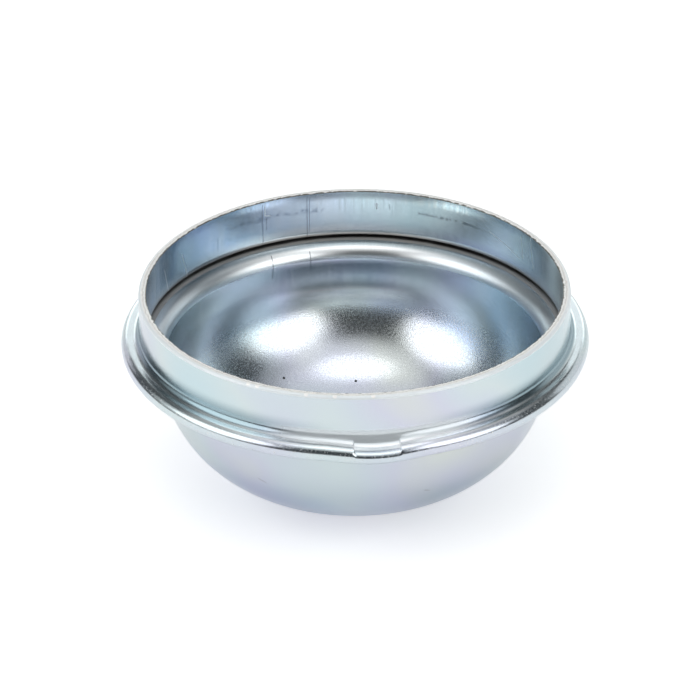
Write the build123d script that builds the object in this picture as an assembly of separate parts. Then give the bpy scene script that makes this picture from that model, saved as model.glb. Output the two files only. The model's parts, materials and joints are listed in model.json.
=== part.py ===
from build123d import *
import os
from math import atan2, cos, degrees, radians, sin, sqrt

# Driving dimensions of the cap, in millimetres and degrees.
# The cap stands on its dome at the origin, with its mouth up along +Z and its vent notch on -Y.
SHEET = 1.2              # thickness of the drawn sheet
OVERALL_HEIGHT = 32.2    # lowest point of the dome to the rim
COLLAR_OD = 65.0         # press fit in the hub bore
COLLAR_HEIGHT = 7.1      # rim to the seat on top of the flange
FLANGE_OD = 70.7         # over the folded edge
HEM_GAP = 0.15           # slit left between the two leaves of the fold
BEND_RADIUS = 1.2        # inside radius where the sheet turns into the flange
DOME_OD = 59.5           # outside of the dome, at the underside of the flange
DOME_DRAFT = 1.1         # inward lean of the dome's upper wall
CORNER_RADIUS = 19.0     # outside radius between the dome's wall and its base
BASE_RADIUS = 51.0       # outside radius of the shallow base
RIM_LEAD = 0.45          # rounding of the rim's outer edge, which leads into the bore
RIM_BREAK = 0.15         # small rounding of the rim's inner edge
NOTCH_WIDTH = 6.6        # vent notch, across
NOTCH_DEPTH = 0.35       # vent notch, below the flange seat
NOTCH_SETBACK = 0.25     # collar wall to the inner end of the notch
NOTCH_FOOT = 0.3         # rounding at the inner foot of the notch
NOTCH_INSET = 0.05       # flange edge to the pressed roll inside the notch
TOOL_MARGIN = 1.0        # how far the notch's cutting shape stands clear of the flange
COINCIDENT = 1e-6        # ends closer than this are one point

# Radii and levels that follow from them.
collar_r = COLLAR_OD / 2
collar_inner_r = collar_r - SHEET
flange_r = FLANGE_OD / 2
fold_r = SHEET + HEM_GAP / 2
seat_z = OVERALL_HEIGHT - COLLAR_HEIGHT
fold_z = seat_z - fold_r
under_z = fold_z - fold_r
fold_centre = Vector(flange_r - fold_r, fold_z)
collar_bend_centre = Vector(collar_r + BEND_RADIUS, seat_z + BEND_RADIUS)

# Dome wall: a line through (DOME_OD / 2, under_z), with its outward normal and its upward direction.
draft = radians(DOME_DRAFT)
wall_normal = Vector(cos(draft), -sin(draft))
wall_up = Vector(sin(draft), cos(draft))
wall_offset = wall_normal.dot(Vector(DOME_OD / 2, under_z))

# Dome bend: tangent to the dome wall and to the underside of the flange.
dome_bend_z = under_z - BEND_RADIUS
dome_bend_r = (wall_offset + BEND_RADIUS + sin(draft) * dome_bend_z) / cos(draft)
dome_bend_centre = Vector(dome_bend_r, dome_bend_z)

# Corner: tangent to the dome wall and, from inside, to the base arc.
base_centre = Vector(0, BASE_RADIUS)
corner_reach = BASE_RADIUS - CORNER_RADIUS
corner_offset = wall_offset - CORNER_RADIUS
corner_across = corner_offset - wall_normal.dot(base_centre)
corner_rise = wall_up.dot(base_centre) - sqrt(corner_reach ** 2 - corner_across ** 2)
corner_centre = wall_normal * corner_offset + wall_up * corner_rise
base_to_corner = corner_centre - base_centre
base_end_angle = degrees(atan2(base_to_corner.Y, base_to_corner.X))


def arc(centre, radius, start, end):
    """Arc about a centre from one angle to another, clockwise where the end angle is the smaller."""
    return CenterArc(centre, radius, start, end - start)


def sheet_section():
    """Closed section of the sheet to the right of the axis, outside first, then back along the inside."""
    outside = [
        arc(base_centre, BASE_RADIUS, -90, base_end_angle),
        arc(corner_centre, CORNER_RADIUS, base_end_angle, -DOME_DRAFT),
        arc(dome_bend_centre, BEND_RADIUS, 180 - DOME_DRAFT, 90),
        arc(fold_centre, fold_r, -90, 90),
        arc(collar_bend_centre, BEND_RADIUS, 270, 180),
        arc(Vector(collar_r - RIM_LEAD, OVERALL_HEIGHT - RIM_LEAD), RIM_LEAD, 0, 90),
    ]
    inside = [
        arc(Vector(collar_inner_r + RIM_BREAK, OVERALL_HEIGHT - RIM_BREAK), RIM_BREAK, 90, 180),
        arc(collar_bend_centre, BEND_RADIUS + SHEET, 180, 270),
        arc(fold_centre, HEM_GAP / 2, 90, -90),
        arc(dome_bend_centre, BEND_RADIUS + SHEET, 90, 180 - DOME_DRAFT),
        arc(corner_centre, CORNER_RADIUS - SHEET, -DOME_DRAFT, base_end_angle),
        arc(base_centre, BASE_RADIUS - SHEET, base_end_angle, -90),
    ]
    return close_outline(outside + inside)


def close_outline(arcs):
    """Face bounded by arcs in order, with a straight run wherever one arc doesn't end where the next starts."""
    edges = []
    for this, following in zip(arcs, arcs[1:] + arcs[:1]):
        edges.append(this)
        if (this @ 1 - following @ 0).length > COINCIDENT:
            edges.append(Line(this @ 1, following @ 0))
    return make_face(edges)


def vent_notch():
    """Cutting shape of the notch: a lower seat and a smaller roll, as wide as the punch."""
    floor_z = seat_z - NOTCH_DEPTH
    inner_r = collar_r + NOTCH_SETBACK
    roll_r = fold_r - NOTCH_DEPTH
    foot = arc(Vector(inner_r + NOTCH_FOOT, floor_z + NOTCH_FOOT), NOTCH_FOOT, 180, 270)
    roll = arc(Vector(flange_r - NOTCH_INSET - roll_r, fold_z), roll_r, 90, 0)
    outer_low = Vector(flange_r + TOOL_MARGIN, fold_z)
    outer_high = Vector(flange_r + TOOL_MARGIN, seat_z + BEND_RADIUS + TOOL_MARGIN)
    inner_high = Vector(inner_r, outer_high.Y)
    profile = make_face([
        foot,
        Line(foot @ 1, roll @ 0),
        roll,
        Line(roll @ 1, outer_low),
        Line(outer_low, outer_high),
        Line(outer_high, inner_high),
        Line(inner_high, foot @ 0),
    ])
    ring = revolve(Plane.XZ * profile, Axis.Z)
    reach = flange_r + TOOL_MARGIN
    punch = Pos(0, -reach / 2, seat_z) * Box(NOTCH_WIDTH, reach, OVERALL_HEIGHT)
    return ring & punch


grease_cap = revolve(Plane.XZ * sheet_section(), Axis.Z) - vent_notch()
grease_cap.label = "grease_cap"

os.makedirs("parts", exist_ok=True)
export_step(grease_cap, "parts/grease_cap.step")
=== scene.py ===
import json
import math

import bpy
from mathutils import Matrix, Vector


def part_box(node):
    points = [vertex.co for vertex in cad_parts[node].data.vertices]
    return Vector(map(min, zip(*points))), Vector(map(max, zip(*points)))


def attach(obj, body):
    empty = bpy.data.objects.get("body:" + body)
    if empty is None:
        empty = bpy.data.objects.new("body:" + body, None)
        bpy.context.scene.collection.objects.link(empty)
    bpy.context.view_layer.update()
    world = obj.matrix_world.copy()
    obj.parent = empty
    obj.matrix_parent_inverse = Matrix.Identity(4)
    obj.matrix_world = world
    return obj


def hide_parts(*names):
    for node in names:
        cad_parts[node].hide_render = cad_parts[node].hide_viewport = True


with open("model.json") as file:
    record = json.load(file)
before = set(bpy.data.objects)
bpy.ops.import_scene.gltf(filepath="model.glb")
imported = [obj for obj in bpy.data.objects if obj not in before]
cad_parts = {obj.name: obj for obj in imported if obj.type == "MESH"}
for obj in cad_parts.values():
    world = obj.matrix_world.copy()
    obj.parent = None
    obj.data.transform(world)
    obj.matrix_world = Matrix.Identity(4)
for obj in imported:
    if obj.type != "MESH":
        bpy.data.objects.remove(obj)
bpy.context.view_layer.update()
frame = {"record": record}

MM = 0.001

# Sizes of the cap, read from the frame where it states them, in metres.
node_low, node_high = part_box("grease_cap")
mounts = {mount["name"]: mount for mount in frame["record"]["mounts"]}
RIM_Z = node_high.z
FLANGE_R = min(node_high.x, node_high.y, -node_low.x, -node_low.y)
COLLAR_R = mounts["hub_spigot"]["dims"]["r_mm"] * MM
SEAT_Z = mounts["flange_seat"]["pos_m"][2]
SHEET = 1.2 * MM
HEM_GAP = 0.15 * MM
BEND_R = 1.2 * MM
DOME_R = 29.75 * MM
DOME_DRAFT = math.radians(1.1)
CORNER_R = 19.0 * MM
BASE_R = 51.0 * MM
RIM_LEAD = 0.45 * MM
RIM_BREAK = 0.15 * MM
LIP_R = 1.5 * MM
NOTCH_WIDTH = 6.5 * MM
NOTCH_DEPTH = 0.35 * MM
NOTCH_SETBACK = 0.3 * MM
NOTCH_WALL = 0.1 * MM
SAG_DEPTH = 0.5 * MM
SAG_HALF_ANGLE = math.radians(14)

FOLD_R = SHEET + HEM_GAP / 2
FOLD_Z = SEAT_Z - FOLD_R
UNDER_Z = FOLD_Z - FOLD_R
COLLAR_INNER_R = COLLAR_R - SHEET

# Fineness of the mesh: faces around the axis, and steps along each stretch of the section.
SEGMENTS = 288
BASE_STEPS = 10
CORNER_STEPS = 26
OUTER_BEND_STEPS = 10
INNER_BEND_STEPS = 16
ROLL_STEPS = 26
SEAT_BEND_STEPS = 12
LEAD_STEPS = 7
LIP_STEPS = 14
SHORT_STEPS = 4
WELD = 0.001 * MM
SHARP_ANGLE = math.radians(40)


def arc(centre, radius, start, end, steps):
    """Points of the section on an arc about a centre, from one angle to another in degrees."""
    points = []
    for i in range(steps + 1):
        angle = math.radians(start + (end - start) * i / steps)
        points.append(centre + radius * Vector((math.cos(angle), math.sin(angle))))
    return points


def run(start, end, steps):
    """Points of the section on a straight run, both ends included."""
    return [start.lerp(end, i / steps) for i in range(steps + 1)]


def chain(*pieces):
    """One row of points from several pieces, with a point that two pieces share kept once."""
    points = []
    for piece in pieces:
        for point in piece:
            if not points or (point - points[-1]).length > WELD:
                points.append(point)
    return points


def cap_section():
    """The sheet's section from the base outside to the base inside, as runs of points of one finish each."""
    draft_deg = math.degrees(DOME_DRAFT)
    normal = Vector((math.cos(DOME_DRAFT), -math.sin(DOME_DRAFT)))
    upward = Vector((math.sin(DOME_DRAFT), math.cos(DOME_DRAFT)))
    offset = normal.dot(Vector((DOME_R, UNDER_Z)))
    bend_z = UNDER_Z - BEND_R
    bend_r = (offset + BEND_R + math.sin(DOME_DRAFT) * bend_z) / math.cos(DOME_DRAFT)
    dome_bend = Vector((bend_r, bend_z))
    base = Vector((0, BASE_R))
    across = offset - CORNER_R - normal.dot(base)
    rise = upward.dot(base) - math.sqrt((BASE_R - CORNER_R) ** 2 - across ** 2)
    corner = normal * (offset - CORNER_R) + upward * rise
    turn = math.degrees(math.atan2(corner.y - base.y, corner.x - base.x))
    fold = Vector((FLANGE_R - FOLD_R, FOLD_Z))
    collar_bend = Vector((COLLAR_R + BEND_R, SEAT_Z + BEND_R))
    lead = Vector((COLLAR_R - RIM_LEAD, RIM_Z - RIM_LEAD))
    edge = Vector((COLLAR_INNER_R + RIM_BREAK, RIM_Z - RIM_BREAK))
    lip = Vector((COLLAR_INNER_R + LIP_R, SEAT_Z - SHEET + LIP_R))

    outside = chain(
        arc(base, BASE_R, -90, turn, BASE_STEPS),
        arc(corner, CORNER_R, turn, -draft_deg, CORNER_STEPS),
        arc(dome_bend, BEND_R, 180 - draft_deg, 90, OUTER_BEND_STEPS),
        arc(fold, FOLD_R, -90, 90, ROLL_STEPS),
        arc(collar_bend, BEND_R, 270, 180, SEAT_BEND_STEPS),
        [lead + Vector((RIM_LEAD, 0))],
    )
    rim = chain(
        arc(lead, RIM_LEAD, 0, 90, LEAD_STEPS),
        run(Vector((lead.x, RIM_Z)), Vector((edge.x, RIM_Z)), SHORT_STEPS),
        arc(edge, RIM_BREAK, 90, 180, SHORT_STEPS),
    )
    collar_inside = chain(
        run(Vector((COLLAR_INNER_R, edge.y)), Vector((COLLAR_INNER_R, lip.y)), SHORT_STEPS),
        arc(lip, LIP_R, 180, 270, LIP_STEPS),
    )
    slit = chain(
        [Vector((lip.x, SEAT_Z - SHEET))],
        arc(fold, HEM_GAP / 2, 90, -90, SHORT_STEPS),
        [Vector((dome_bend.x, FOLD_Z - HEM_GAP / 2))],
    )
    dome_inside = chain(
        arc(dome_bend, BEND_R + SHEET, 90, 180 - draft_deg, INNER_BEND_STEPS),
        arc(corner, CORNER_R - SHEET, -draft_deg, turn, CORNER_STEPS),
        arc(base, BASE_R - SHEET, turn, -90, BASE_STEPS),
    )
    return [
        ("zinc_outside", outside),
        ("cut_rim", rim),
        ("zinc_collar", collar_inside),
        ("hem_slit", slit),
        ("zinc_dome", dome_inside),
    ]


def spin_run(points, finish):
    """Draws one run of the section by extruding a point, and spins it into a skin of one finish."""
    bpy.ops.object.select_all(action="DESELECT")
    bpy.ops.mesh.primitive_plane_add(size=SHEET, location=(0, 0, 0))
    skin = bpy.context.object
    skin.data.materials.append(finish)
    bpy.ops.object.mode_set(mode="EDIT")
    bpy.ops.mesh.merge(type="CENTER")
    bpy.ops.transform.translate(value=(points[0].x, 0, points[0].y))
    for here, there in zip(points, points[1:]):
        step = (there.x - here.x, 0, there.y - here.y)
        bpy.ops.mesh.extrude_region_move(TRANSFORM_OT_translate={"value": step})
    bpy.ops.mesh.select_all(action="SELECT")
    bpy.ops.mesh.spin(steps=SEGMENTS, angle=math.tau, center=(0, 0, 0), axis=(0, 0, 1))
    bpy.ops.object.mode_set(mode="OBJECT")
    return skin


def select_points(cap, chosen):
    """Selects the vertices for which chosen(co) holds, and ends in edit mode."""
    bpy.ops.object.mode_set(mode="OBJECT")
    for polygon in cap.data.polygons:
        polygon.select = False
    for mesh_edge in cap.data.edges:
        mesh_edge.select = False
    for vertex in cap.data.vertices:
        vertex.select = chosen(vertex.co)
    bpy.ops.object.mode_set(mode="EDIT")


def press_notch(cap):
    """Cuts the flange at the sides of the notch and presses the patch between them towards the fold."""
    half = NOTCH_WIDTH / 2
    inner_r = COLLAR_R + NOTCH_SETBACK

    def on_front_flange(co):
        return co.y < 0 and abs(co.x) < 2 * NOTCH_WIDTH and co.xy.length > inner_r and co.z > UNDER_Z

    def in_patch(co):
        return co.y < 0 and abs(co.x) < half + WELD and co.xy.length > inner_r and co.z > FOLD_Z + WELD

    for side in (-1, 1):
        for place in (half - NOTCH_WALL, half, half + NOTCH_WALL, half + 2 * NOTCH_WALL):
            select_points(cap, on_front_flange)
            bpy.ops.mesh.select_mode(type="FACE")
            bpy.ops.mesh.bisect(plane_co=(side * place, 0, 0), plane_no=(1, 0, 0))
            bpy.ops.mesh.select_mode(type="VERT")
    select_points(cap, in_patch)
    flatten = (FOLD_R - NOTCH_DEPTH) / FOLD_R
    bpy.ops.transform.resize(value=(1, 1, flatten), center_override=(0, -FLANGE_R, FOLD_Z))


def smooth_step(value, low, high):
    """0 below low, 1 above high and an even S between them."""
    share = min(max((value - low) / (high - low), 0), 1)
    return share * share * (3 - 2 * share)


def sag_flange(cap):
    """Lets the flange dip softly on both sides of the notch, where the punch bent it."""
    group = cap.vertex_groups.new(name="flange_sag")
    for vertex in cap.data.vertices:
        co = vertex.co
        turn = abs(math.atan2(co.x, -co.y))
        if turn < SAG_HALF_ANGLE and UNDER_Z - BEND_R < co.z < SEAT_Z + BEND_R:
            around = 0.5 + 0.5 * math.cos(math.pi * turn / SAG_HALF_ANGLE)
            outward = smooth_step(co.xy.length, COLLAR_R - SHEET / 2, FLANGE_R - FOLD_R)
            if outward > 0:
                group.add([vertex.index], around * outward, "REPLACE")
    dip = cap.modifiers.new("flange_dip", "DISPLACE")
    dip.direction = "Z"
    dip.mid_level = 0
    dip.strength = -SAG_DEPTH
    dip.vertex_group = group.name
    bpy.ops.object.modifier_apply(modifier=dip.name)


def build_cap(finishes):
    """The whole cap as one welded sheet: spun section, pressed notch and dipped flange."""
    skins = [spin_run(points, finishes[finish_name]) for finish_name, points in cap_section()]
    for skin in skins:
        skin.select_set(True)
    bpy.ops.object.join()
    cap = bpy.context.object
    cap.name = "drawn_cap"
    cap.data.name = "drawn_cap"
    bpy.ops.object.mode_set(mode="EDIT")
    bpy.ops.mesh.select_all(action="SELECT")
    bpy.ops.mesh.remove_doubles(threshold=WELD)
    bpy.ops.mesh.normals_make_consistent(inside=False)
    press_notch(cap)
    bpy.ops.object.mode_set(mode="OBJECT")
    sag_flange(cap)
    bpy.ops.object.shade_smooth_by_angle(angle=SHARP_ANGLE)
    return cap


# Node helpers. A value given to a node is either a number or colour, or another node's output.
# A Mix node keeps the sockets of its colours at these places.
MIX_COLOR_INPUTS = (6, 7)
MIX_COLOR_OUTPUT = 2


def wire(tree, socket, value):
    """Sets a socket to a value, or links it to an output."""
    if isinstance(value, bpy.types.NodeSocket):
        tree.links.new(value, socket)
    else:
        socket.default_value = value


def add_math(tree, operation, *values):
    """Math node on one or two values."""
    node = tree.nodes.new("ShaderNodeMath")
    node.operation = operation
    for socket, value in zip(node.inputs, values):
        wire(tree, socket, value)
    return node.outputs["Value"]


def add_product(tree, *values):
    """Product of several masks."""
    result = values[0]
    for value in values[1:]:
        result = add_math(tree, "MULTIPLY", result, value)
    return result


def add_vector_math(tree, operation, *values, scale=None):
    """Vector Math node; gives its number where the operation makes one."""
    node = tree.nodes.new("ShaderNodeVectorMath")
    node.operation = operation
    for socket, value in zip(node.inputs, values):
        wire(tree, socket, value)
    if scale is not None:
        wire(tree, node.inputs["Scale"], scale)
    gives_number = operation in ("DOT_PRODUCT", "LENGTH", "DISTANCE")
    return node.outputs["Value" if gives_number else "Vector"]


def add_vector(tree, x, y, z):
    """Vector of three values."""
    node = tree.nodes.new("ShaderNodeCombineXYZ")
    for socket, value in zip(node.inputs, (x, y, z)):
        wire(tree, socket, value)
    return node.outputs["Vector"]


def add_ramp(tree, value, start, end, low=0.0, high=1.0):
    """Smooth change from low to high as the value goes from start to end."""
    node = tree.nodes.new("ShaderNodeMapRange")
    node.interpolation_type = "SMOOTHSTEP"
    settings = {"Value": value, "From Min": start, "From Max": end, "To Min": low, "To Max": high}
    for name, number in settings.items():
        wire(tree, node.inputs[name], number)
    return node.outputs["Result"]


def add_blend(tree, mask, low, high):
    """Smooth change from low, where the mask is 0, to high, where it is 1."""
    return add_ramp(tree, mask, 0.0, 1.0, low, high)


def add_mask(tree, *limits):
    """1 where each value is in its range: (start, full), or (start, full, fading, end) to fall off again."""
    ramps = []
    for value, (start, full, *fall) in limits:
        ramps.append(add_ramp(tree, value, start, full))
        if fall:
            fading, end = fall
            ramps.append(add_ramp(tree, value, end, fading))
    return add_product(tree, *ramps)


def add_noise(tree, vector, scale, detail, roughness):
    """Noise value over a vector."""
    node = tree.nodes.new("ShaderNodeTexNoise")
    settings = {"Vector": vector, "Scale": scale, "Detail": detail, "Roughness": roughness}
    for name, value in settings.items():
        wire(tree, node.inputs[name], value)
    return node.outputs["Fac"]


def add_mix(tree, factor, first, second, blend="MIX"):
    """Mix of two colours."""
    node = tree.nodes.new("ShaderNodeMix")
    node.data_type = "RGBA"
    node.blend_type = blend
    wire(tree, node.inputs["Factor"], factor)
    for place, value in zip(MIX_COLOR_INPUTS, (first, second)):
        wire(tree, node.inputs[place], value if isinstance(value, bpy.types.NodeSocket) else (*value, 1))
    return node.outputs[MIX_COLOR_OUTPUT]


def lay_over(tree, color, mask, paint, strength):
    """A colour with a paint laid over it where the mask is, no stronger than the strength."""
    return add_mix(tree, add_math(tree, "MULTIPLY", mask, strength), color, paint)


def add_raised(tree, value, mask, amount):
    """A value raised by an amount where the mask is."""
    return add_math(tree, "ADD", value, add_math(tree, "MULTIPLY", mask, amount))


def new_group(name, inputs, outputs):
    """Empty shader node group with named sockets, with its input and output nodes."""
    tree = bpy.data.node_groups.new(name, "ShaderNodeTree")
    for direction, sockets in (("INPUT", inputs), ("OUTPUT", outputs)):
        for socket_name, kind in sockets.items():
            tree.interface.new_socket(name=socket_name, in_out=direction, socket_type="NodeSocket" + kind)
    return tree, tree.nodes.new("NodeGroupInput").outputs, tree.nodes.new("NodeGroupOutput").inputs


def add_group(tree, group, **values):
    """Places a node group and sets its inputs by name."""
    node = tree.nodes.new("ShaderNodeGroup")
    node.node_tree = group
    for name, value in values.items():
        wire(tree, node.inputs[name], value)
    return node.outputs


# Effects that the finishes take as node groups. Scales of noise are per millimetre. A core is the share of
# a mark's half width, or of a speck's size, in which it is full.
PASSIVATION_TINTS = (
    (0.3, (0.82, 0.97, 1.0)),
    (0.44, (0.95, 1.0, 0.99)),
    (0.52, (0.92, 0.95, 1.0)),
    (0.6, (0.93, 0.9, 1.0)),
    (0.72, (1.0, 0.98, 0.92)),
)
MARK_CORE = 0.3
MARK_GAPS = (0.28, 0.5)
MARK_GAP_LEVEL = 0.25
NOISE_MIDDLE = 0.5
BAND_PATCHES = (0.38, 0.62)
BAND_FADE = math.radians(3)
SPECK_CORE = 0.6
STIPPLE_CONTRAST = (0.3, 0.7)


def wall_place_group():
    """Where a point is on the cap: millimetres from its axis and base, and turn from the notch."""
    outputs = {
        "Millimetres": "Vector",
        "Turn": "Float",
        "Radius": "Float",
        "Height": "Float",
        "Round": "Vector",
    }
    tree, given, made = new_group("Wall Place", {"Position": "Vector"}, outputs)
    in_mm = add_vector_math(tree, "SCALE", given["Position"], scale=1 / MM)
    parts = tree.nodes.new("ShaderNodeSeparateXYZ")
    wire(tree, parts.inputs["Vector"], in_mm)
    x, y, z = parts.outputs
    flat = add_vector(tree, x, y, 0.0)
    wire(tree, made["Millimetres"], in_mm)
    wire(tree, made["Turn"], add_math(tree, "ARCTAN2", x, add_math(tree, "MULTIPLY", y, -1.0)))
    wire(tree, made["Radius"], add_vector_math(tree, "LENGTH", flat))
    wire(tree, made["Height"], z)
    wire(tree, made["Round"], add_vector_math(tree, "NORMALIZE", flat))
    return tree


def draw_lines_group():
    """Fine lines along the draw direction, which the punch and the die leave on a wall."""
    inputs = {"Round": "Vector", "Height": "Float", "Lines": "Float", "Run": "Float"}
    tree, given, made = new_group("Draw Lines", inputs, {"Fac": "Float"})
    around = add_vector_math(tree, "SCALE", given["Round"], scale=COLLAR_INNER_R / MM)
    along = add_math(tree, "MULTIPLY", given["Height"], given["Run"])
    place = add_vector_math(tree, "ADD", around, add_vector(tree, 0.0, 0.0, along))
    wire(tree, made["Fac"], add_noise(tree, place, given["Lines"], detail=4.0, roughness=0.65))
    return tree


def stipple_group():
    """Salt-and-pepper grain of the zinc crystals."""
    inputs = {"Millimetres": "Vector", "Grains": "Float"}
    tree, given, made = new_group("Zinc Stipple", inputs, {"Fac": "Float"})
    fine = add_noise(tree, given["Millimetres"], given["Grains"], detail=2.0, roughness=0.7)
    wire(tree, made["Fac"], add_ramp(tree, fine, *STIPPLE_CONTRAST))
    return tree


def passivation_group():
    """Thin-film tint of the blue passivation: teal, clear, lavender and straw fields that drift together."""
    inputs = {"Millimetres": "Vector", "Fields": "Float"}
    tree, given, made = new_group("Passivation", inputs, {"Tint": "Color"})
    drift = add_noise(tree, given["Millimetres"], given["Fields"], detail=1.5, roughness=0.45)
    ramp = tree.nodes.new("ShaderNodeValToRGB")
    elements = ramp.color_ramp.elements
    while len(elements) < len(PASSIVATION_TINTS):
        elements.new(0.5)
    for element, (place, tint) in zip(elements, PASSIVATION_TINTS):
        element.position = place
        element.color = (*tint, 1)
    wire(tree, ramp.inputs["Fac"], drift)
    wire(tree, made["Tint"], ramp.outputs["Color"])
    return tree


def line_mark_group():
    """Mask of one thin mark from a start to an end, each a turn in degrees and a height in millimetres."""
    inputs = {"Turn": "Float", "Height": "Float", "Start": "Vector", "End": "Vector", "Width": "Float"}
    tree, given, made = new_group("Line Mark", inputs, {"Mask": "Float"})
    per_degree = math.radians(1) * COLLAR_INNER_R / MM
    arc_length = add_math(tree, "MULTIPLY", given["Turn"], COLLAR_INNER_R / MM)
    point = add_vector(tree, arc_length, given["Height"], 0.0)
    start = add_vector_math(tree, "MULTIPLY", given["Start"], (per_degree, 1, 0))
    end = add_vector_math(tree, "MULTIPLY", given["End"], (per_degree, 1, 0))
    reach = add_vector_math(tree, "SUBTRACT", end, start)
    offset = add_vector_math(tree, "SUBTRACT", point, start)
    share = add_math(tree, "DIVIDE", add_vector_math(tree, "DOT_PRODUCT", offset, reach),
                     add_vector_math(tree, "DOT_PRODUCT", reach, reach))
    share = add_math(tree, "MINIMUM", add_math(tree, "MAXIMUM", share, 0.0), 1.0)
    nearest = add_vector_math(tree, "SCALE", reach, scale=share)
    away = add_vector_math(tree, "DISTANCE", offset, nearest)
    core = add_math(tree, "MULTIPLY", given["Width"], MARK_CORE)
    broken = add_noise(tree, point, scale=1.3, detail=3.0, roughness=0.7)
    broken = add_ramp(tree, broken, *MARK_GAPS, low=MARK_GAP_LEVEL)
    wire(tree, made["Mask"], add_product(tree, add_ramp(tree, away, given["Width"], core), broken))
    return tree


def level_band_group():
    """Mask of a level band that wanders a little and comes and goes along its way."""
    inputs = {
        "Millimetres": "Vector",
        "Height": "Float",
        "Level": "Float",
        "Width": "Float",
        "Turn": "Float",
        "From": "Float",
        "To": "Float",
    }
    tree, given, made = new_group("Level Band", inputs, {"Mask": "Float"})
    wander = add_noise(tree, given["Millimetres"], scale=0.35, detail=3.0, roughness=0.6)
    wander = add_math(tree, "SUBTRACT", wander, NOISE_MIDDLE)
    wander = add_math(tree, "MULTIPLY", wander, given["Width"])
    away = add_math(tree, "SUBTRACT", given["Height"], given["Level"])
    away = add_math(tree, "ABSOLUTE", add_math(tree, "ADD", away, wander))
    band = add_ramp(tree, away, given["Width"], 0.0)
    patchy = add_noise(tree, given["Millimetres"], scale=1.1, detail=3.0, roughness=0.6)
    patchy = add_ramp(tree, patchy, *BAND_PATCHES)
    start = add_ramp(tree, given["Turn"], given["From"], add_math(tree, "ADD", given["From"], BAND_FADE))
    end = add_ramp(tree, given["Turn"], given["To"], add_math(tree, "SUBTRACT", given["To"], BAND_FADE))
    wire(tree, made["Mask"], add_product(tree, band, patchy, start, end))
    return tree


def speck_group():
    """Mask of one small round speck at a place in millimetres."""
    inputs = {"Millimetres": "Vector", "Place": "Vector", "Size": "Float"}
    tree, given, made = new_group("Speck", inputs, {"Mask": "Float"})
    away = add_vector_math(tree, "DISTANCE", given["Millimetres"], given["Place"])
    core = add_math(tree, "MULTIPLY", given["Size"], SPECK_CORE)
    wire(tree, made["Mask"], add_ramp(tree, away, given["Size"], core))
    return tree


def new_material(name):
    """A node material with its surface shader."""
    material = bpy.data.materials.new(name)
    material.use_nodes = True
    return material, material.node_tree, material.node_tree.nodes["Principled BSDF"]


def start_metal(name, groups):
    """Metal material with the place of each point on the cap."""
    material, tree, shader = new_material(name)
    shader.inputs["Metallic"].default_value = 1
    position = tree.nodes.new("ShaderNodeTexCoord").outputs["Object"]
    return material, tree, shader, add_group(tree, groups["place"], Position=position)


def add_bump(tree, shader, height, strength, distance_mm):
    """Bump from a height."""
    bump = tree.nodes.new("ShaderNodeBump")
    bump.inputs["Strength"].default_value = strength
    bump.inputs["Distance"].default_value = distance_mm * MM
    wire(tree, bump.inputs["Height"], height)
    wire(tree, shader.inputs["Normal"], bump.outputs["Normal"])


def add_facing(tree, place, direction):
    """How far a point lies towards a direction from the axis, from -1 to 1."""
    return add_vector_math(tree, "DOT_PRODUCT", place["Round"], direction)


def add_tinted(tree, groups, place, zinc, fields):
    """Zinc in a plain colour with the tint of the passivation on it."""
    tint = add_group(tree, groups["passivation"], Millimetres=place["Millimetres"], Fields=fields)["Tint"]
    return add_mix(tree, 1.0, zinc, tint, "MULTIPLY")


def add_lines(tree, groups, place, density, drift):
    """Draw lines of a density per millimetre around the wall, which drift as they run along it."""
    lines = add_group(tree, groups["lines"], Round=place["Round"], Height=place["Height"],
                      Lines=density, Run=drift)
    return lines["Fac"]


def add_marks(tree, groups, place, marks):
    """One mask of all marks in a list of (start turn, start height, end turn, end height, half width)."""
    mask = None
    for start_turn, start_height, end_turn, end_height, half_width in marks:
        start = (start_turn, start_height, 0)
        end = (end_turn, end_height, 0)
        line = add_group(tree, groups["mark"], Turn=place["Turn"], Height=place["Height"],
                         Start=start, End=end, Width=half_width)["Mask"]
        mask = line if mask is None else add_math(tree, "MAXIMUM", mask, line)
    return mask


def add_specks(tree, groups, place, color, places, size, paint):
    """Small round specks of a paint, each at (turn in degrees, distance from the axis, height)."""
    for turn, radius, level in places:
        angle = math.radians(turn)
        centre = (radius * math.sin(angle), -radius * math.cos(angle), level)
        speck = add_group(tree, groups["speck"], Millimetres=place["Millimetres"], Place=centre, Size=size)
        color = add_mix(tree, speck["Mask"], color, paint)
    return color


# Finishes. Ranges give heights and radii in millimetres, the reach towards a direction, or levels of a noise.
# Two numbers are where a change starts and where it is full. With four, it fades again and ends.
WHITE = (1.0, 1.0, 1.0)

# Directions from the axis. The notch is on the near side.
RIGHT = (1, 0, 0)
NEAR = (0, -1, 0)
FAR = (0, 1, 0)
FAR_MIDDLE = (0.09, 0.996, 0)

# Marks on the walls: start turn and height, end turn and height, half width, in degrees and millimetres.
COLLAR_DARK_MARKS = (
    (-158.0, 31.6, -158.0, 24.6, 0.13),
    (-159.3, 29.2, -159.2, 27.2, 0.1),
    (-171.6, 31.8, -171.6, 23.8, 0.13),
    (-172.4, 31.5, -172.3, 25.5, 0.1),
    (-142.6, 28.6, -142.4, 26.2, 0.12),
    (164.6, 30.0, 164.4, 29.2, 0.1),
)
COLLAR_LIGHT_MARKS = (
    (-158.8, 31.3, -158.8, 29.7, 0.12),
    (-158.8, 29.7, -160.4, 29.5, 0.12),
    (-127.1, 29.1, -130.0, 23.9, 0.12),
    (-117.0, 29.0, -119.0, 25.0, 0.1),
    (119.5, 31.0, 118.5, 27.6, 0.12),
    (115.0, 31.9, 113.3, 27.1, 0.12),
    (132.3, 29.1, 120.3, 27.1, 0.1),
    (168.2, 30.0, 168.2, 29.2, 0.2),
)
DOME_DARK_MARKS = (
    (-159.0, 23.3, -158.3, 20.0, 0.13),
    (-171.3, 23.0, -171.3, 20.0, 0.13),
)
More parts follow.
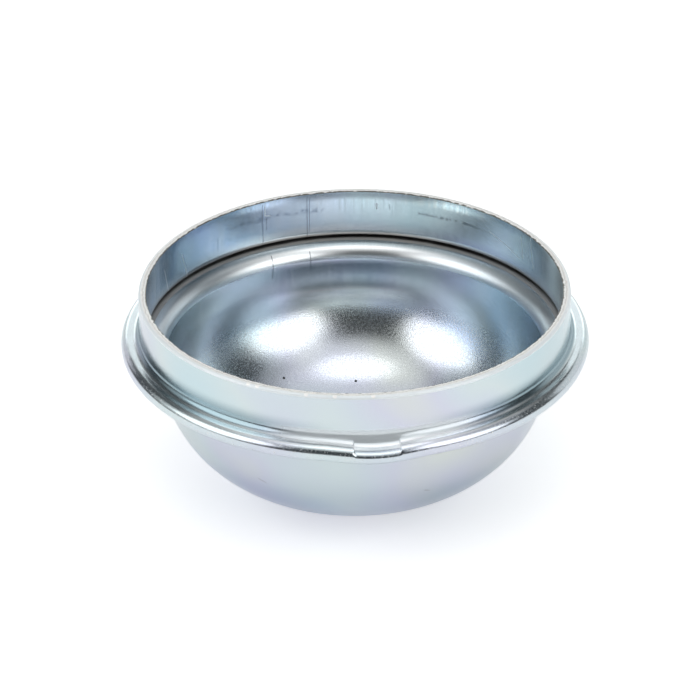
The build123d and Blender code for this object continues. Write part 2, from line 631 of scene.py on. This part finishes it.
DOME_LIGHT_MARKS = (
    (-128.5, 21.2, -127.5, 17.4, 0.13),
)
OUTSIDE_MARKS = (
    (-35.6, 13.7, -33.4, 13.2, 0.16),
    (16.2, 12.3, 17.8, 12.0, 0.2),
)

# Outside: the collar's foot on the flange, the flange painted light, the dome below it and the scuffed roll.
# A low side has its reach to the right and its painted shade.
OUTSIDE_ZINC = (0.6, 0.645, 0.665)
OUTSIDE_FIELDS = 0.045
FOOT_SHADE = (0.5, 0.58, 0.62)
FOOT_HEIGHTS = (26.8, 26.0)
FOOT_STRENGTH = 0.5
SIDE_FOOT_HEIGHTS = (28.4, 26.2)
SIDE_FOOT_REACH = (0.1, 0.6)
FOOT_RADII = (33.3, 32.9)
FOOT_BOTTOM = (24.9, 25.05)
DULL_FOOT = (0.66, 0.71, 0.74)
DULL_FOOT_METAL = 0.4
DULL_FOOT_REACH = (0.86, 0.97)
DULL_FOOT_HEIGHTS = (26.9, 26.2)
DULL_FOOT_RADII = (33.7, 33.3)
DULL_FOOT_BOTTOM = (24.0, 24.3)
FLANGE_SIDE_SHADE = (0.68, 0.77, 0.8)
FLANGE_SIDE_REACH = (0.6, 0.9)
FLANGE_LIGHT_RADII = (33.0, 33.6, 34.2, 34.8)
FLANGE_LIGHT_BOTTOM = (24.0, 24.5)
DOME_SHADE = (0.91, 0.92, 0.92)
DOME_SHADE_HEIGHTS = (23.0, 21.5)
LAVENDER_SHADE = (0.7, 0.72, 0.86)
LAVENDER_SHADE_HEIGHTS = (17.0, 1.0)
LOW_SIDE_HEIGHTS = (14.5, 9.0)
LOW_SIDE_SHADES = (
    ((0.05, 0.45), (0.72, 0.82, 0.82)),
    ((-0.1, -0.5), (0.78, 0.8, 0.9)),
)
OUTSIDE_MARK = (0.2, 0.2, 0.22)
OUTSIDE_MARK_STRENGTH = 0.45
SCUFF = (0.8, 0.8, 0.78)
SCUFF_STRENGTH = 0.6
SCUFF_LEVELS = (0.55, 0.68)
SCUFF_ROUGHNESS = 0.2
ROLL_RADII = (34.4, 35.0)
ROLL_BOTTOM = (22.8, 23.4)
OUTSIDE_GRAINS = 3.0
OUTSIDE_ROUGHNESS = (0.19, 0.24)
OUTSIDE_GRAIN_DEPTH = 0.008


def outside_finish(groups):
    """Bright zinc outside: shaded foot of the collar, flange painted light at the front, scuffed roll,
    painted lavender shade low down.
    """
    material, tree, shader, place = start_metal("zinc_outside", groups)
    height, radius, spot = place["Height"], place["Radius"], place["Millimetres"]
    aside = add_facing(tree, place, RIGHT)
    off_middle = add_math(tree, "ABSOLUTE", aside)
    color = add_tinted(tree, groups, place, OUTSIDE_ZINC, OUTSIDE_FIELDS)

    side_foot = add_mask(tree, (height, SIDE_FOOT_HEIGHTS), (off_middle, SIDE_FOOT_REACH))
    foot = add_math(tree, "MAXIMUM", side_foot, add_ramp(tree, height, *FOOT_HEIGHTS, high=FOOT_STRENGTH))
    foot = add_product(tree, foot, add_ramp(tree, radius, *FOOT_RADII), add_ramp(tree, height, *FOOT_BOTTOM))
    color = add_mix(tree, foot, color, FOOT_SHADE, "MULTIPLY")
    dull_foot = add_mask(tree, (add_facing(tree, place, NEAR), DULL_FOOT_REACH), (height, DULL_FOOT_HEIGHTS),
                         (radius, DULL_FOOT_RADII), (height, DULL_FOOT_BOTTOM))
    color = add_mix(tree, dull_foot, color, DULL_FOOT)
    wire(tree, shader.inputs["Metallic"], add_blend(tree, dull_foot, 1.0, DULL_FOOT_METAL))

    # Painted highlight and shade: the flange is painted white at the front and darker teal-grey towards the
    # sides.
    flange = add_mask(tree, (radius, FLANGE_LIGHT_RADII), (height, FLANGE_LIGHT_BOTTOM))
    flange_light = add_mix(tree, add_ramp(tree, off_middle, *FLANGE_SIDE_REACH), WHITE, FLANGE_SIDE_SHADE)
    color = add_mix(tree, flange, color, flange_light)

    color = add_mix(tree, add_ramp(tree, height, *DOME_SHADE_HEIGHTS), color, DOME_SHADE, "MULTIPLY")
    # Painted shade: the dome is darker and more lavender towards the bottom, where it mirrors the shadowed
    # floor under it.
    color = add_mix(tree, add_ramp(tree, height, *LAVENDER_SHADE_HEIGHTS), color, LAVENDER_SHADE, "MULTIPLY")
    # Painted shade: the dome's low sides are darker, teal on the right and lavender on the left, where they
    # mirror the cap's shadow on the floor.
    for reach, shade in LOW_SIDE_SHADES:
        low_side_shade = add_mask(tree, (height, LOW_SIDE_HEIGHTS), (aside, reach))
        color = add_mix(tree, low_side_shade, color, shade, "MULTIPLY")

    marks = add_marks(tree, groups, place, OUTSIDE_MARKS)
    color = lay_over(tree, color, marks, OUTSIDE_MARK, OUTSIDE_MARK_STRENGTH)
    scuffs = add_ramp(tree, add_noise(tree, spot, scale=2.6, detail=4.0, roughness=0.75), *SCUFF_LEVELS)
    scuffs = add_product(tree, scuffs, add_mask(tree, (radius, ROLL_RADII), (height, ROLL_BOTTOM)))
    color = lay_over(tree, color, scuffs, SCUFF, SCUFF_STRENGTH)
    wire(tree, shader.inputs["Base Color"], color)

    grain = add_group(tree, groups["stipple"], Millimetres=spot, Grains=OUTSIDE_GRAINS)["Fac"]
    roughness = add_raised(tree, add_blend(tree, grain, *OUTSIDE_ROUGHNESS), scuffs, SCUFF_ROUGHNESS)
    wire(tree, shader.inputs["Roughness"], roughness)
    waves = add_noise(tree, spot, scale=0.16, detail=1.0, roughness=0.4)
    depth = add_raised(tree, waves, grain, OUTSIDE_GRAIN_DEPTH)
    add_bump(tree, shader, depth, strength=0.35, distance_mm=0.25)
    return material


# Rim: its places are distances from the collar's inside, or from the axis where the name says radii.
RIM_METAL = 0.5
RIM_PALE = (0.93, 0.94, 0.92)
RIM_NICK = (1.0, 0.99, 0.96)
NICK_LEVELS = (0.56, 0.66)
LEAD_PALE = (0.84, 0.89, 0.91)
LEAD_RADII = (31.95, 32.3)
TEAR_LEVELS = (0.35, 0.65)
TEAR_LOW = -0.14
TEAR_HIGH = 0.1
TORN_DARK = (0.16, 0.16, 0.14)
TORN_END = 0.16
TORN_FULL = 0.06
SEAM = (0.3, 0.27, 0.23)
SEAM_PLACE = 0.5
SEAM_WIDTHS = (0.14, 0.04)
SEAM_STRENGTH = 0.3
BURR = (1.0, 1.0, 0.98)
BURR_SIZE = 0.42
BURR_RADIUS = 32.25
BURR_TURNS = (-33.8, -31.2, -17.9, -10.5, -0.7)
RIM_GRAIN_LEVELS = (0.3, 0.7)
RIM_SMOOTHEST = 0.5
RIM_ROUGHEST = 0.65


def rim_finish(groups):
    """Trimmed edge of the sheet: paler, rougher, with a torn dark line along the inside and white burrs."""
    material, tree, shader, place = start_metal("cut_rim", groups)
    shader.inputs["Metallic"].default_value = RIM_METAL
    radius, spot = place["Radius"], place["Millimetres"]
    inner = COLLAR_INNER_R / MM
    torn = add_noise(tree, spot, scale=1.5, detail=4.0, roughness=0.75)
    edge = add_math(tree, "ADD", radius, add_ramp(tree, torn, *TEAR_LEVELS, TEAR_LOW, TEAR_HIGH))
    nicks = add_ramp(tree, add_noise(tree, spot, scale=0.8, detail=3.0, roughness=0.7), *NICK_LEVELS)
    color = add_mix(tree, nicks, RIM_PALE, RIM_NICK)
    color = add_mix(tree, add_ramp(tree, radius, *LEAD_RADII), color, LEAD_PALE)
    seam = add_math(tree, "ABSOLUTE", add_math(tree, "SUBTRACT", edge, inner + SEAM_PLACE))
    color = add_mix(tree, add_ramp(tree, seam, *SEAM_WIDTHS, high=SEAM_STRENGTH), color, SEAM)
    color = add_mix(tree, add_ramp(tree, edge, inner + TORN_END, inner + TORN_FULL), color, TORN_DARK)
    burrs = [(turn, BURR_RADIUS, RIM_Z / MM) for turn in BURR_TURNS]
    color = add_specks(tree, groups, place, color, burrs, BURR_SIZE, BURR)
    wire(tree, shader.inputs["Base Color"], color)
    roughness = add_ramp(tree, torn, *RIM_GRAIN_LEVELS, RIM_SMOOTHEST, RIM_ROUGHEST)
    wire(tree, shader.inputs["Roughness"], roughness)
    add_bump(tree, shader, torn, strength=0.3, distance_mm=0.08)
    return material


# Inside of the collar. Its bands have a level, a width, a first and a last turn, a strength and a colour.
COLLAR_PALE = (0.8, 0.9, 0.92)
COLLAR_BLUE_SHADE = (0.56, 0.68, 0.85)
COLLAR_BLUE_SHADE_REACH = (0.35, -0.75)
LINE_LEVELS = (0.4, 0.75)
FINE_LINE = (0.44, 0.52, 0.6)
FINE_LINE_STRENGTH = 0.22
BROAD_LINE = (0.78, 0.84, 0.86)
BROAD_LINE_STRENGTH = 0.45
COLLAR_BANDS = (
    (29.2, 0.7, math.radians(-178), math.radians(-145), 0.6, (0.25, 0.32, 0.42)),
    (29.0, 0.4, math.radians(135), math.radians(158), 0.7, (0.2, 0.24, 0.27)),
)
TICK = (0.92, 0.95, 0.93)
TICK_STRENGTH = 0.75
TICK_LEVELS = (0.46, 0.6)
TICK_HEIGHTS = (30.0, 30.8)
TICK_TURNS = tuple(math.radians(turn) for turn in (130, 136, 157, 163))
LIP_SIDES = (0.6, 0.66, 0.74)
LIP_FAR_REACH = (0.75, 0.97)
LIP_HEIGHTS = (27.0, 25.2)
LIP_ROUGHNESS = 0.03
COLLAR_LIGHT_MARK = (0.9, 0.94, 0.95)
COLLAR_LIGHT_STRENGTH = 0.7
COLLAR_DARK_MARK = (0.16, 0.2, 0.26)
COLLAR_DARK_STRENGTH = 0.5
COLLAR_DARK_DEPTH = 0.8
COLLAR_GRAIN_LEVELS = (0.3, 0.75)
COLLAR_SMOOTHEST = 0.16
COLLAR_ROUGHEST = 0.24
LIGHT_MARK_ROUGHNESS = 0.2


def collar_finish(groups):
    """Inside of the collar: pale zinc with painted bluer shade to the left, a painted highlight on the lip,
    draw lines, dark level bands, ticks under the rim and scratches.
    """
    material, tree, shader, place = start_metal("zinc_collar", groups)
    height, turn, spot = place["Height"], place["Turn"], place["Millimetres"]
    fine = add_lines(tree, groups, place, density=2.6, drift=0.05)
    broad = add_lines(tree, groups, place, density=0.35, drift=0.3)
    # Painted shade: the collar's inside is darker and bluer towards the left side.
    side = add_ramp(tree, add_facing(tree, place, RIGHT), *COLLAR_BLUE_SHADE_REACH)
    color = add_mix(tree, side, COLLAR_PALE, COLLAR_BLUE_SHADE)
    color = add_mix(tree, add_ramp(tree, fine, *LINE_LEVELS, high=FINE_LINE_STRENGTH), color, FINE_LINE)
    color = add_mix(tree, add_ramp(tree, broad, *LINE_LEVELS, high=BROAD_LINE_STRENGTH), color, BROAD_LINE)
    for level, width, first_turn, last_turn, strength, paint in COLLAR_BANDS:
        band = add_group(tree, groups["band"], Millimetres=spot, Height=height, Level=level, Width=width,
                         Turn=turn, From=first_turn, To=last_turn)["Mask"]
        color = lay_over(tree, color, band, paint, strength)
    ticks = add_lines(tree, groups, place, density=1.6, drift=0.02)
    ticks = add_mask(tree, (ticks, TICK_LEVELS), (height, TICK_HEIGHTS), (turn, TICK_TURNS))
    color = lay_over(tree, color, ticks, TICK, TICK_STRENGTH)

    # Painted highlight: the lip is painted white on the far side and grey-blue on the sides.
    lip = add_ramp(tree, height, *LIP_HEIGHTS)
    lip_far_highlight = add_ramp(tree, add_facing(tree, place, FAR), *LIP_FAR_REACH)
    color = add_mix(tree, lip, color, add_mix(tree, lip_far_highlight, LIP_SIDES, WHITE))
    light = add_marks(tree, groups, place, COLLAR_LIGHT_MARKS)
    color = lay_over(tree, color, light, COLLAR_LIGHT_MARK, COLLAR_LIGHT_STRENGTH)
    dark = add_marks(tree, groups, place, COLLAR_DARK_MARKS)
    color = lay_over(tree, color, dark, COLLAR_DARK_MARK, COLLAR_DARK_STRENGTH)
    wire(tree, shader.inputs["Base Color"], color)

    roughness = add_ramp(tree, fine, *COLLAR_GRAIN_LEVELS, COLLAR_SMOOTHEST, COLLAR_ROUGHEST)
    roughness = add_raised(tree, roughness, light, LIGHT_MARK_ROUGHNESS)
    roughness = add_raised(tree, roughness, lip, LIP_ROUGHNESS)
    wire(tree, shader.inputs["Roughness"], roughness)
    depth = add_math(tree, "SUBTRACT", fine, add_math(tree, "MULTIPLY", dark, COLLAR_DARK_DEPTH))
    add_bump(tree, shader, depth, strength=0.12, distance_mm=0.04)
    return material


# Slit of the fold: a brown stain and painted dark shade on grey zinc, and the paler ledge at its mouth.
SLIT_STAIN_SHADE = (0.1, 0.085, 0.07)
SLIT_SHADE_GREY = (0.2, 0.2, 0.2)
LEDGE = (0.38, 0.38, 0.37)
LEDGE_RADII = (32.2, 31.5)
LEDGE_METAL = 0.5
SLIT_LEVELS = (0.3, 0.7)
SLIT_SMOOTHEST = 0.45
SLIT_ROUGHEST = 0.6


def slit_finish(groups):
    """Deep in the fold: dull zinc painted dark as shade, with a brown stain."""
    material, tree, shader, place = start_metal("hem_slit", groups)
    # Painted shade: the slit is painted near black, with a real brown stain mixed into it.
    stain_and_shade = add_noise(tree, place["Millimetres"], scale=0.3, detail=3.0, roughness=0.6)
    ledge = add_ramp(tree, place["Radius"], *LEDGE_RADII)
    color = add_mix(tree, stain_and_shade, SLIT_STAIN_SHADE, SLIT_SHADE_GREY)
    wire(tree, shader.inputs["Base Color"], add_mix(tree, ledge, color, LEDGE))
    wire(tree, shader.inputs["Metallic"], add_blend(tree, ledge, 1.0, LEDGE_METAL))
    roughness = add_ramp(tree, stain_and_shade, *SLIT_LEVELS, SLIT_SMOOTHEST, SLIT_ROUGHEST)
    wire(tree, shader.inputs["Roughness"], roughness)
    return material


# Inside of the dome. Pairs of strengths, roughness and depth hold on the base and on the wall. Speckle and
# sparkle have a colour, the levels of the grain that they start and are full at, and their strengths.
DOME_ZINC = (0.65, 0.705, 0.74)
DOME_FIELDS = 0.05
DOME_GRAINS = 5.2
WALL_HEIGHTS = (12.0, 16.0)
WALL_SHADE = (0.5, 0.55, 0.57)
WALL_SHADE_HEIGHTS = (16.2, 17.6, 20.6, 21.6)
WALL_SHADE_REACH = (0.52, 0.16)
LEFT_SHADE = (0.76, 0.78, 0.82)
LEFT_HEIGHTS = (12.5, 14.0, 17.0, 18.6)
LEFT_REACH = (-0.25, -0.45)
RING_REFLECTION = (0.9, 0.94, 0.95)
RING_REFLECTION_HEIGHTS = (14.8, 15.8, 16.2, 17.2)
RING_REFLECTION_REACH = (0.93, 0.985)
SHOULDER_HIGHLIGHT = (0.78, 0.81, 0.82)
SHOULDER_SIDES = (0.66, 0.73, 0.77)
SHOULDER_SIDE_REACH = (0.35, 0.8)
SHOULDER_HEIGHTS = (21.4, 22.2)
UNDER_LIP_SHADE = (0.36, 0.41, 0.43)
UNDER_LIP_SHADE_HEIGHTS = (23.2, 23.65)
UNDER_LIP_SHADE_REACH = (0.2, 0.7)
SPECKLE = ((0.34, 0.39, 0.43), (0.5, 1.0), (0.24, 0.08))
SPARKLE = ((0.92, 0.96, 0.98), (0.45, 0.0), (0.3, 0.08))
STREAK = (0.8, 0.84, 0.86)
STREAK_LEVELS = (0.45, 0.72)
STREAK_STRENGTH = 0.12
DOME_LIGHT_MARK = (0.9, 0.93, 0.94)
DOME_LIGHT_STRENGTH = 0.7
DOME_DARK_MARK = (0.12, 0.14, 0.17)
DOME_DARK_STRENGTH = 0.75
SPECK = (0.01, 0.01, 0.01)
SPECK_SIZE = 0.27
SPECK_PLACES = ((-152.8, 20.96, 6.3), (174.6, 18.8, 5.0))
DOME_ROUGHNESS = (0.15, 0.19)
GRAIN_LEVELS = (0.35, 0.95)
GRAIN_ROUGHNESS = (0.16, 0.02)
SOFT_SIDE_REACH = (0.2, 0.55)
SOFT_SIDE_ROUGHNESS = 0.055
SHOULDER_ROUGHNESS = 0.1
GRAIN_DEPTHS = (1.0, 0.3)


def dome_finish(groups):
    """Inside of the dome: stippled zinc with painted shade on its wall and under the lip, painted highlights
    on the shoulder and a painted reflection on the far wall, draw lines, scratches and black specks.
    """
    material, tree, shader, place = start_metal("zinc_dome", groups)
    height, spot = place["Height"], place["Millimetres"]
    aside = add_facing(tree, place, RIGHT)
    off_middle = add_math(tree, "ABSOLUTE", aside)
    on_wall = add_ramp(tree, height, *WALL_HEIGHTS)
    grain = add_group(tree, groups["stipple"], Millimetres=spot, Grains=DOME_GRAINS)["Fac"]
    lines = add_lines(tree, groups, place, density=1.8, drift=0.08)
    color = add_tinted(tree, groups, place, DOME_ZINC, DOME_FIELDS)

    # Painted shade: the dome's wall is darker towards the far and near middle.
    wall_shade = add_mask(tree, (height, WALL_SHADE_HEIGHTS), (off_middle, WALL_SHADE_REACH))
    color = add_mix(tree, wall_shade, color, WALL_SHADE, "MULTIPLY")
    left_wall = add_mask(tree, (height, LEFT_HEIGHTS), (aside, LEFT_REACH))
    color = add_mix(tree, left_wall, color, LEFT_SHADE, "MULTIPLY")
    # Painted reflection: a pale arc on the far wall, where the near shoulder's highlight is mirrored.
    ring_reflection = add_mask(tree, (height, RING_REFLECTION_HEIGHTS), (add_facing(tree, place, FAR_MIDDLE), RING_REFLECTION_REACH))
    color = add_mix(tree, ring_reflection, color, RING_REFLECTION)
    # Painted highlight: the shoulder is painted lighter, most in the far and near middle and less on the
    # sides.
    shoulder = add_ramp(tree, height, *SHOULDER_HEIGHTS)
    sides = add_ramp(tree, off_middle, *SHOULDER_SIDE_REACH)
    color = add_mix(tree, shoulder, color, add_mix(tree, sides, SHOULDER_HIGHLIGHT, SHOULDER_SIDES))
    # Painted shade: a dark band on the far side, just under the lip of the fold.
    under_lip_shade = add_mask(tree, (height, UNDER_LIP_SHADE_HEIGHTS), (add_facing(tree, place, FAR), UNDER_LIP_SHADE_REACH))
    color = add_mix(tree, under_lip_shade, color, UNDER_LIP_SHADE)

    for paint, levels, strengths in (SPECKLE, SPARKLE):
        flecks = add_product(tree, add_ramp(tree, grain, *levels), add_blend(tree, on_wall, *strengths))
        color = add_mix(tree, flecks, color, paint)
    streaks = add_product(tree, add_ramp(tree, lines, *STREAK_LEVELS), on_wall)
    color = lay_over(tree, color, streaks, STREAK, STREAK_STRENGTH)
    light = add_marks(tree, groups, place, DOME_LIGHT_MARKS)
    color = lay_over(tree, color, light, DOME_LIGHT_MARK, DOME_LIGHT_STRENGTH)
    dark = add_marks(tree, groups, place, DOME_DARK_MARKS)
    color = lay_over(tree, color, dark, DOME_DARK_MARK, DOME_DARK_STRENGTH)
    color = add_specks(tree, groups, place, color, SPECK_PLACES, SPECK_SIZE, SPECK)
    wire(tree, shader.inputs["Base Color"], color)

    grain_roughness = add_ramp(tree, grain, *GRAIN_LEVELS, high=add_blend(tree, on_wall, *GRAIN_ROUGHNESS))
    roughness = add_math(tree, "ADD", add_blend(tree, on_wall, *DOME_ROUGHNESS), grain_roughness)
    soft_sides = add_product(tree, on_wall, add_ramp(tree, off_middle, *SOFT_SIDE_REACH))
    roughness = add_raised(tree, roughness, soft_sides, SOFT_SIDE_ROUGHNESS)
    roughness = add_raised(tree, roughness, shoulder, SHOULDER_ROUGHNESS)
    wire(tree, shader.inputs["Roughness"], roughness)
    depth = add_product(tree, grain, add_blend(tree, on_wall, *GRAIN_DEPTHS))
    add_bump(tree, shader, depth, strength=0.3, distance_mm=0.015)
    return material


def make_finishes():
    """All finishes, with the effects that they share built once."""
    groups = {
        "place": wall_place_group(),
        "lines": draw_lines_group(),
        "stipple": stipple_group(),
        "passivation": passivation_group(),
        "mark": line_mark_group(),
        "band": level_band_group(),
        "speck": speck_group(),
    }
    return {
        "zinc_outside": outside_finish(groups),
        "cut_rim": rim_finish(groups),
        "zinc_collar": collar_finish(groups),
        "hem_slit": slit_finish(groups),
        "zinc_dome": dome_finish(groups),
    }


# Stage: the camera stands a little to the left of the notch, above the mouth.
CAMERA_TURN = math.radians(-5.2)
CAMERA_RISE = math.radians(28.89)
CAMERA_DISTANCE = 600.8 * MM
CAMERA_ROLL = math.radians(-0.51)
CAMERA_NEAR = 10 * MM
CAMERA_FAR = 10
SENSOR_WIDTH = 36
FOCAL_PIXELS = 4000
IMAGE_PIXELS = 700
RIM_CENTRE_PIXEL = Vector((354.57, 287.51))
FLOOR_SIZE = 6
FLOOR_COLOR = (0.9, 0.9, 0.9, 1)
FLOOR_ROUGHNESS = 0.9
FLOOR_GLOW_COLOR = (1, 1, 1, 1)
FLOOR_GLOW_SEEN = 0.48
FLOOR_GLOW_MIRRORED = 0.38
WORLD_COLOR = (0.88, 0.94, 1, 1)
WORLD_LEVEL = 0.07

# Softboxes: name, turn and rise in degrees, distance, width and height in metres, radiance.
SOFTBOXES = (
    ("left_wall", -78, 31, 0.45, 0.56, 0.44, 0.45),
    ("left_lamp", -67, 32, 0.44, 0.43, 0.34, 1.55),
    ("right_wall", 50, 35, 0.45, 0.46, 0.46, 0.45),
    ("right_lamp", 49, 31, 0.44, 0.37, 0.33, 1.6),
    ("top_softbox", 0, 82, 0.8, 0.5, 0.38, 1.1),
    ("ceiling", 0, 88, 1.0, 1.85, 1.7, 0.38),
    ("ceiling_middle", 0, 86, 0.95, 1.1, 1.2, 0.42),
    ("back_card", 180, 18, 1.2, 1.2, 0.86, 1.1),
    ("back_right_card", 134, 14, 1.1, 1.15, 0.94, 0.85),
    ("back_left_card", -148, 12, 1.15, 0.75, 0.6, 0.8),
)


def towards(turn, rise):
    """Unit direction from the cap: turn is measured from the camera's side, to its right."""
    angle = turn + CAMERA_TURN
    return Vector((math.sin(angle) * math.cos(rise), -math.cos(angle) * math.cos(rise), math.sin(rise)))


def add_camera():
    """Camera at the photograph's angle, aimed so that the rim's centre falls on its pixel."""
    data = bpy.data.cameras.new("photo_camera")
    data.sensor_width = SENSOR_WIDTH
    data.lens = FOCAL_PIXELS / IMAGE_PIXELS * SENSOR_WIDTH
    data.clip_start = CAMERA_NEAR
    data.clip_end = CAMERA_FAR
    camera = bpy.data.objects.new("photo_camera", data)
    bpy.context.collection.objects.link(camera)
    back = towards(0, CAMERA_RISE)
    look = (-back).to_track_quat("-Z", "Y").to_matrix().to_4x4()
    right = RIM_CENTRE_PIXEL.x - IMAGE_PIXELS / 2
    above = IMAGE_PIXELS / 2 - RIM_CENTRE_PIXEL.y
    aim = Matrix.Rotation(-math.atan(above / FOCAL_PIXELS), 4, "X")
    aim = aim @ Matrix.Rotation(math.atan(right / FOCAL_PIXELS), 4, "Y")
    place = Matrix.Translation(Vector((0, 0, RIM_Z)) + back * CAMERA_DISTANCE)
    camera.matrix_world = place @ look @ Matrix.Rotation(CAMERA_ROLL, 4, "Z") @ aim
    bpy.context.scene.camera = camera


def add_softbox(name, turn, rise, distance, width, height, radiance):
    """Oval lamp that faces the cap, as bright as its radiance says."""
    data = bpy.data.lights.new(name, "AREA")
    data.shape = "ELLIPSE"
    data.size = width
    data.size_y = height
    area = math.pi / 4 * width * height
    data.energy = radiance * math.pi * area
    lamp = bpy.data.objects.new(name, data)
    bpy.context.collection.objects.link(lamp)
    direction = towards(math.radians(turn), math.radians(rise))
    lamp.location = direction * distance
    lamp.rotation_euler = direction.to_track_quat("Z", "Y").to_euler()


def add_floor():
    """Pale floor, white to the camera and bright in the metal, that keeps the cap's shadow."""
    bpy.ops.object.select_all(action="DESELECT")
    bpy.ops.mesh.primitive_plane_add(size=FLOOR_SIZE, location=(0, 0, 0))
    floor = bpy.context.object
    floor.name = "floor"
    material, tree, shader = new_material("white_table")
    shader.inputs["Base Color"].default_value = FLOOR_COLOR
    shader.inputs["Roughness"].default_value = FLOOR_ROUGHNESS
    shader.inputs["Specular IOR Level"].default_value = 0
    rays = tree.nodes.new("ShaderNodeLightPath").outputs
    seen = add_math(tree, "MULTIPLY", rays["Is Camera Ray"], FLOOR_GLOW_SEEN)
    mirrored = add_math(tree, "MULTIPLY", rays["Is Glossy Ray"], FLOOR_GLOW_MIRRORED)
    shader.inputs["Emission Color"].default_value = FLOOR_GLOW_COLOR
    wire(tree, shader.inputs["Emission Strength"], add_math(tree, "ADD", seen, mirrored))
    floor.data.materials.append(material)


def add_lights():
    """Dim surroundings and softboxes."""
    world = bpy.data.worlds.new("studio")
    world.use_nodes = True
    backdrop = world.node_tree.nodes["Background"]
    backdrop.inputs["Color"].default_value = WORLD_COLOR
    backdrop.inputs["Strength"].default_value = WORLD_LEVEL
    bpy.context.scene.world = world
    for softbox in SOFTBOXES:
        add_softbox(*softbox)
    bpy.context.scene.view_settings.view_transform = "Standard"


cap = build_cap(make_finishes())
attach(cap, "root")
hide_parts("grease_cap")

add_camera()
add_floor()
add_lights()
